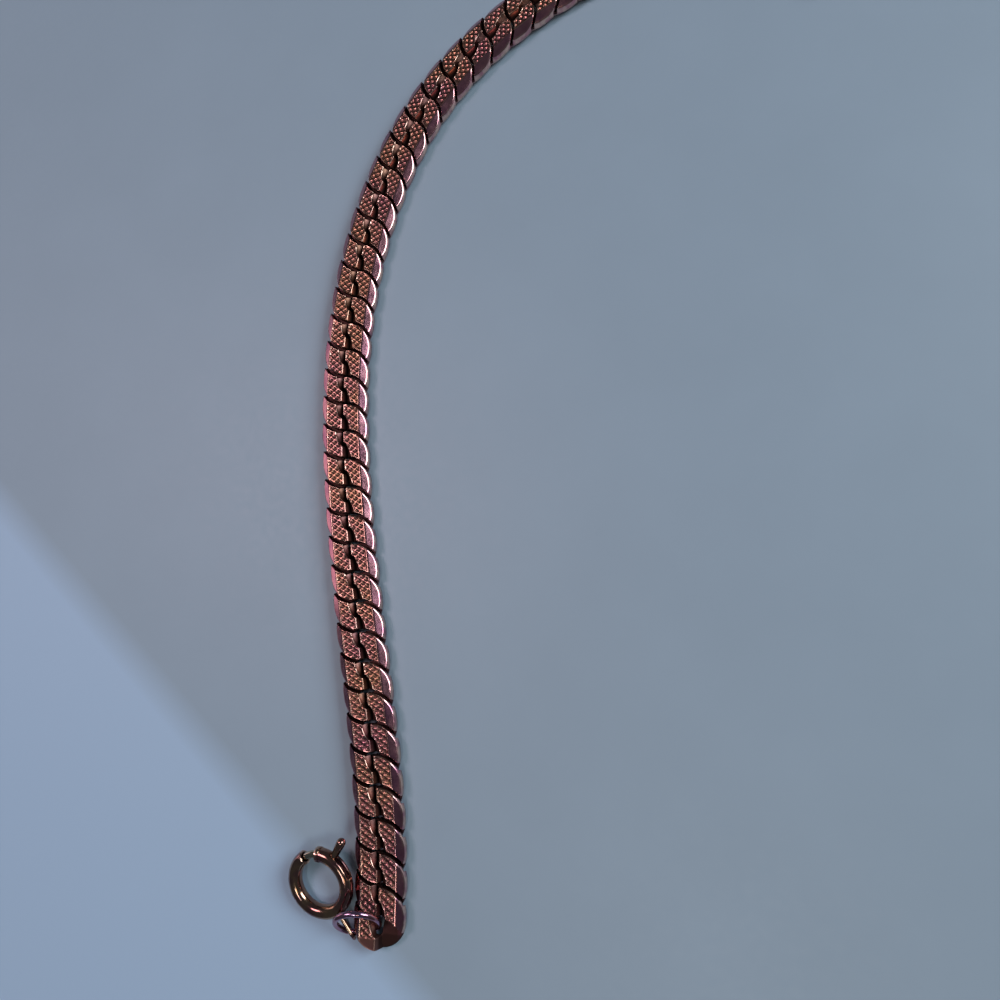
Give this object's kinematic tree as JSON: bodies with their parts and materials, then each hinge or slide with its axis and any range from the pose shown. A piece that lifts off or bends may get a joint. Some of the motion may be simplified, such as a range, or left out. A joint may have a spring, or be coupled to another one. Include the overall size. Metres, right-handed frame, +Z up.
{
  "type": "pocket watch chain",
  "caption": "Flat curb-link pocket watch chain with knurled bevelled links, a spring bolt ring on a jump ring, and a T-bar at the far end.",
  "frame": {"origin": "under the middle of the laid-out chain's bounding box, on the surface it lies on", "axes": "+Z up from the surface, +Y along the longer side of the laid-out chain, from the bolt ring towards the T-bar, +X to the right of it"},
  "size_m": [0.085, 0.1376, 0.0048],
  "materials": {
    "chain_metal": "rose-brown plate, knurled flats and polished facets",
    "clasp_metal": "polished rose-brown plate",
    "jump_ring_metal": "polished plate with a purple tarnish",
    "spring_steel": "bright drawn wire"
  },
  "bodies": {
    "link_01": {"curb_link_01": "chain_metal"},
    "link_02": {"curb_link_02": "chain_metal"},
    "link_03": {"curb_link_03": "chain_metal"},
    "link_04": {"curb_link_04": "chain_metal"},
    "link_05": {"curb_link_05": "chain_metal"},
    "link_06": {"curb_link_06": "chain_metal"},
    "link_07": {"curb_link_07": "chain_metal"},
    "link_08": {"curb_link_08": "chain_metal"},
    "link_09": {"curb_link_09": "chain_metal"},
    "link_10": {"curb_link_10": "chain_metal"},
    "link_11": {"curb_link_11": "chain_metal"},
    "link_12": {"curb_link_12": "chain_metal"},
    "link_13": {"curb_link_13": "chain_metal"},
    "link_14": {"curb_link_14": "chain_metal"},
    "link_15": {"curb_link_15": "chain_metal"},
    "link_16": {"curb_link_16": "chain_metal"},
    "link_17": {"curb_link_17": "chain_metal"},
    "link_18": {"curb_link_18": "chain_metal"},
    "link_19": {"curb_link_19": "chain_metal"},
    "link_20": {"curb_link_20": "chain_metal"},
    "link_21": {"curb_link_21": "chain_metal"},
    "link_22": {"curb_link_22": "chain_metal"},
    "link_23": {"curb_link_23": "chain_metal"},
    "link_24": {"curb_link_24": "chain_metal"},
    "link_25": {"curb_link_25": "chain_metal"},
    "link_26": {"curb_link_26": "chain_metal"},
    "link_27": {"curb_link_27": "chain_metal"},
    "link_28": {"curb_link_28": "chain_metal"},
    "link_29": {"curb_link_29": "chain_metal"},
    "link_30": {"curb_link_30": "chain_metal"},
    "link_31": {"curb_link_31": "chain_metal"},
    "link_32": {"curb_link_32": "chain_metal"},
    "link_33": {"curb_link_33": "chain_metal"},
    "link_34": {"curb_link_34": "chain_metal"},
    "link_35": {"curb_link_35": "chain_metal"},
    "link_36": {"curb_link_36": "chain_metal"},
    "link_37": {"curb_link_37": "chain_metal"},
    "link_38": {"curb_link_38": "chain_metal"},
    "link_39": {"curb_link_39": "chain_metal"},
    "link_40": {"curb_link_40": "chain_metal"},
    "link_41": {"curb_link_41": "chain_metal"},
    "link_42": {"curb_link_42": "chain_metal"},
    "link_43": {"curb_link_43": "chain_metal"},
    "link_44": {"curb_link_44": "chain_metal"},
    "link_45": {"curb_link_45": "chain_metal"},
    "link_46": {"curb_link_46": "chain_metal"},
    "link_47": {"curb_link_47": "chain_metal"},
    "clasp_jump_ring": {"clasp_jump_ring": "jump_ring_metal"},
    "bolt_ring": {"bolt_ring_case": "clasp_metal", "tail_loop": "clasp_metal", "spring_stop": "clasp_metal", "bolt_spring": "spring_steel"},
    "bolt": {"ring_bolt": "clasp_metal", "thumb_lever": "clasp_metal"},
    "bar_jump_ring": {"bar_jump_ring": "jump_ring_metal"},
    "t_bar": {"t_bar_rod": "clasp_metal", "t_bar_cap_left": "clasp_metal", "t_bar_cap_right": "clasp_metal", "t_bar_eye": "clasp_metal"}
  },
  "joints": [
    {"name": "flex_23", "type": "hinge", "parent": "link_24", "child": "link_23", "pos_m": [-0.03787, 0.01945, 0.00105], "axis": [-0.984, 0.1784, 0], "range_deg": [-12, 12]},
    {"name": "sway_22", "type": "hinge", "parent": "link_23", "child": "link_22", "pos_m": [-0.03846, 0.0157, 0.00105], "axis": [0, 0, 1], "range_deg": [-8.74, 3.26]},
    {"name": "flex_21", "type": "hinge", "parent": "link_22", "child": "link_21", "pos_m": [-0.03886, 0.01192, 0.00105], "axis": [-0.9965, 0.0834, 0], "range_deg": [-12, 12]},
    {"name": "sway_20", "type": "hinge", "parent": "link_21", "child": "link_20", "pos_m": [-0.0391, 0.00813, 0.00105], "axis": [0, 0, 1], "range_deg": [-8.43, 3.57]},
    {"name": "flex_19", "type": "hinge", "parent": "link_20", "child": "link_19", "pos_m": [-0.03917, 0.00433, 0.00105], "axis": [-1, -0.0013, 0], "range_deg": [-12, 12]},
    {"name": "sway_18", "type": "hinge", "parent": "link_19", "child": "link_18", "pos_m": [-0.03909, 0.00053, 0.00105], "axis": [0, 0, 1], "range_deg": [-8.06, 3.94]},
    {"name": "flex_17", "type": "hinge", "parent": "link_18", "child": "link_17", "pos_m": [-0.03888, -0.00326, 0.00105], "axis": [-0.9973, -0.0731, 0], "range_deg": [-12, 12]},
    {"name": "sway_16", "type": "hinge", "parent": "link_17", "child": "link_16", "pos_m": [-0.03854, -0.00704, 0.00105], "axis": [0, 0, 1], "range_deg": [-7.61, 4.39]},
    {"name": "flex_15", "type": "hinge", "parent": "link_16", "child": "link_15", "pos_m": [-0.0381, -0.01082, 0.00105], "axis": [-0.9917, -0.1288, 0], "range_deg": [-12, 12]},
    {"name": "sway_14", "type": "hinge", "parent": "link_15", "child": "link_14", "pos_m": [-0.03758, -0.01458, 0.00105], "axis": [0, 0, 1], "range_deg": [-6.98, 5.02]},
    {"name": "flex_13", "type": "hinge", "parent": "link_14", "child": "link_13", "pos_m": [-0.03699, -0.01833, 0.00105], "axis": [-0.9867, -0.1626, 0], "range_deg": [-12, 12]},
    {"name": "sway_12", "type": "hinge", "parent": "link_13", "child": "link_12", "pos_m": [-0.03635, -0.02208, 0.00105], "axis": [0, 0, 1], "range_deg": [-6.52, 5.48]},
    {"name": "flex_11", "type": "hinge", "parent": "link_12", "child": "link_11", "pos_m": [-0.03568, -0.02582, 0.00105], "axis": [-0.9836, -0.1805, 0], "range_deg": [-12, 12]},
    {"name": "sway_10", "type": "hinge", "parent": "link_11", "child": "link_10", "pos_m": [-0.03498, -0.02956, 0.00105], "axis": [0, 0, 1], "range_deg": [-6.36, 5.64]},
    {"name": "flex_09", "type": "hinge", "parent": "link_10", "child": "link_09", "pos_m": [-0.03426, -0.03329, 0.00105], "axis": [-0.9812, -0.1929, 0], "range_deg": [-12, 12]},
    {"name": "sway_08", "type": "hinge", "parent": "link_09", "child": "link_08", "pos_m": [-0.03352, -0.03701, 0.00105], "axis": [0, 0, 1], "range_deg": [-5.95, 6.05]},
    {"name": "flex_07", "type": "hinge", "parent": "link_08", "child": "link_07", "pos_m": [-0.03279, -0.04074, 0.00105], "axis": [-0.9816, -0.191, 0], "range_deg": [-12, 12]},
    {"name": "sway_06", "type": "hinge", "parent": "link_07", "child": "link_06", "pos_m": [-0.03208, -0.04448, 0.00105], "axis": [0, 0, 1], "range_deg": [-5.14, 6.86]},
    {"name": "flex_05", "type": "hinge", "parent": "link_06", "child": "link_05", "pos_m": [-0.03143, -0.04822, 0.00105], "axis": [-0.9869, -0.1615, 0], "range_deg": [-12, 12]},
    {"name": "sway_04", "type": "hinge", "parent": "link_05", "child": "link_04", "pos_m": [-0.03087, -0.05198, 0.00105], "axis": [0, 0, 1], "range_deg": [-4.39, 7.61]},
    {"name": "flex_03", "type": "hinge", "parent": "link_04", "child": "link_03", "pos_m": [-0.03041, -0.05575, 0.00105], "axis": [-0.9944, -0.1058, 0], "range_deg": [-12, 12]},
    {"name": "sway_02", "type": "hinge", "parent": "link_03", "child": "link_02", "pos_m": [-0.03007, -0.05953, 0.00105], "axis": [0, 0, 1], "range_deg": [-3.77, 8.23]},
    {"name": "flex_01", "type": "hinge", "parent": "link_02", "child": "link_01", "pos_m": [-0.02989, -0.06333, 0.00105], "axis": [-0.9996, -0.0281, 0], "range_deg": [-12, 12]},
    {"name": "flex_25", "type": "hinge", "parent": "link_24", "child": "link_25", "pos_m": [-0.0371, 0.02317, 0.00105], "axis": [0.9735, -0.2289, 0], "range_deg": [-12, 12]},
    {"name": "sway_26", "type": "hinge", "parent": "link_25", "child": "link_26", "pos_m": [-0.03613, 0.02684, 0.00105], "axis": [0, 0, 1], "range_deg": [-2.67, 9.33]},
    {"name": "flex_27", "type": "hinge", "parent": "link_26", "child": "link_27", "pos_m": [-0.03495, 0.03045, 0.00105], "axis": [0.9403, -0.3403, 0], "range_deg": [-12, 12]},
    {"name": "sway_28", "type": "hinge", "parent": "link_27", "child": "link_28", "pos_m": [-0.03353, 0.03398, 0.00105], "axis": [0, 0, 1], "range_deg": [-1.71, 10.29]},
    {"name": "flex_29", "type": "hinge", "parent": "link_28", "child": "link_29", "pos_m": [-0.03185, 0.03738, 0.00105], "axis": [0.879, -0.4768, 0], "range_deg": [-12, 12]},
    {"name": "sway_30", "type": "hinge", "parent": "link_29", "child": "link_30", "pos_m": [-0.0299, 0.04064, 0.00105], "axis": [0, 0, 1], "range_deg": [-1, 11]},
    {"name": "flex_31", "type": "hinge", "parent": "link_30", "child": "link_31", "pos_m": [-0.02767, 0.04371, 0.00105], "axis": [0.7829, -0.6222, 0], "range_deg": [-12, 12]},
    {"name": "sway_32", "type": "hinge", "parent": "link_31", "child": "link_32", "pos_m": [-0.02518, 0.04657, 0.00105], "axis": [0, 0, 1], "range_deg": [-1.06, 10.94]},
    {"name": "flex_33", "type": "hinge", "parent": "link_32", "child": "link_33", "pos_m": [-0.02246, 0.04922, 0.00105], "axis": [0.6645, -0.7473, 0], "range_deg": [-12, 12]},
    {"name": "sway_34", "type": "hinge", "parent": "link_33", "child": "link_34", "pos_m": [-0.01952, 0.05161, 0.00105], "axis": [0, 0, 1], "range_deg": [-1.21, 10.79]},
    {"name": "flex_35", "type": "hinge", "parent": "link_34", "child": "link_35", "pos_m": [-0.01638, 0.05376, 0.00105], "axis": [0.531, -0.8474, 0], "range_deg": [-12, 12]},
    {"name": "sway_36", "type": "hinge", "parent": "link_35", "child": "link_36", "pos_m": [-0.0131, 0.05566, 0.00105], "axis": [0, 0, 1], "range_deg": [-2.11, 9.89]},
    {"name": "flex_37", "type": "hinge", "parent": "link_36", "child": "link_37", "pos_m": [-0.00969, 0.05733, 0.00105], "axis": [0.4113, -0.9115, 0], "range_deg": [-12, 12]},
    {"name": "sway_38", "type": "hinge", "parent": "link_37", "child": "link_38", "pos_m": [-0.00618, 0.05879, 0.00105], "axis": [0, 0, 1], "range_deg": [-2.95, 9.05]},
    {"name": "flex_39", "type": "hinge", "parent": "link_38", "child": "link_39", "pos_m": [-0.0026, 0.06007, 0.00105], "axis": [0.3121, -0.95, 0], "range_deg": [-12, 12]},
    {"name": "sway_40", "type": "hinge", "parent": "link_39", "child": "link_40", "pos_m": [0.00103, 0.06117, 0.00105], "axis": [0, 0, 1], "range_deg": [-3.56, 8.44]},
    {"name": "flex_41", "type": "hinge", "parent": "link_40", "child": "link_41", "pos_m": [0.00471, 0.06212, 0.00105], "axis": [0.2301, -0.9732, 0], "range_deg": [-12, 12]},
    {"name": "sway_42", "type": "hinge", "parent": "link_41", "child": "link_42", "pos_m": [0.00842, 0.06293, 0.00105], "axis": [0, 0, 1], "range_deg": [-4.1, 7.9]},
    {"name": "flex_43", "type": "hinge", "parent": "link_42", "child": "link_43", "pos_m": [0.01216, 0.06361, 0.00105], "axis": [0.1651, -0.9863, 0], "range_deg": [-12, 12]},
    {"name": "sway_44", "type": "hinge", "parent": "link_43", "child": "link_44", "pos_m": [0.01591, 0.06419, 0.00105], "axis": [0, 0, 1], "range_deg": [-4.44, 7.56]},
    {"name": "flex_45", "type": "hinge", "parent": "link_44", "child": "link_45", "pos_m": [0.01968, 0.06466, 0.00105], "axis": [0.1114, -0.9938, 0], "range_deg": [-12, 12]},
    {"name": "sway_46", "type": "hinge", "parent": "link_45", "child": "link_46", "pos_m": [0.02346, 0.06504, 0.00105], "axis": [0, 0, 1], "range_deg": [-4.76, 7.24]},
    {"name": "flex_47", "type": "hinge", "parent": "link_46", "child": "link_47", "pos_m": [0.02725, 0.06534, 0.00105], "axis": [0.0683, -0.9977, 0], "range_deg": [-12, 12]},
    {"name": "clasp_jump_ring_swing", "type": "hinge", "parent": "link_01", "child": "clasp_jump_ring", "pos_m": [-0.03002, -0.06643, 0.00105], "axis": [0.9677, 0.2522, 0], "range_deg": [0, 20]},
    {"name": "bolt_ring_swing", "type": "hinge", "parent": "clasp_jump_ring", "child": "bolt_ring", "pos_m": [-0.03365, -0.06749, 0.00092], "axis": [-0.7983, 0.2621, 0.5422], "range_deg": [-20, 5]},
    {"name": "bolt_slide_round", "type": "hinge", "parent": "bolt_ring", "child": "bolt", "pos_m": [-0.03759, -0.06214, 0.0018], "axis": [0.0882, 0.2253, -0.9703], "range_deg": [0, 36], "stiffness_Nm_per_rad": 0.002, "springref_deg": -17.19, "deforming": ["bolt_spring"]},
    {"name": "bar_jump_ring_swing", "type": "hinge", "parent": "link_47", "child": "bar_jump_ring", "pos_m": [0.03036, 0.06533, 0.00105], "axis": [-0.291, 0.9567, 0], "range_deg": [0, 20]},
    {"name": "t_bar_swing", "type": "hinge", "parent": "bar_jump_ring", "child": "t_bar", "pos_m": [0.03135, 0.06122, 0.00135], "axis": [-0.3932, -0.6322, 0.6676], "range_deg": [-20, 20]}
  ]
}
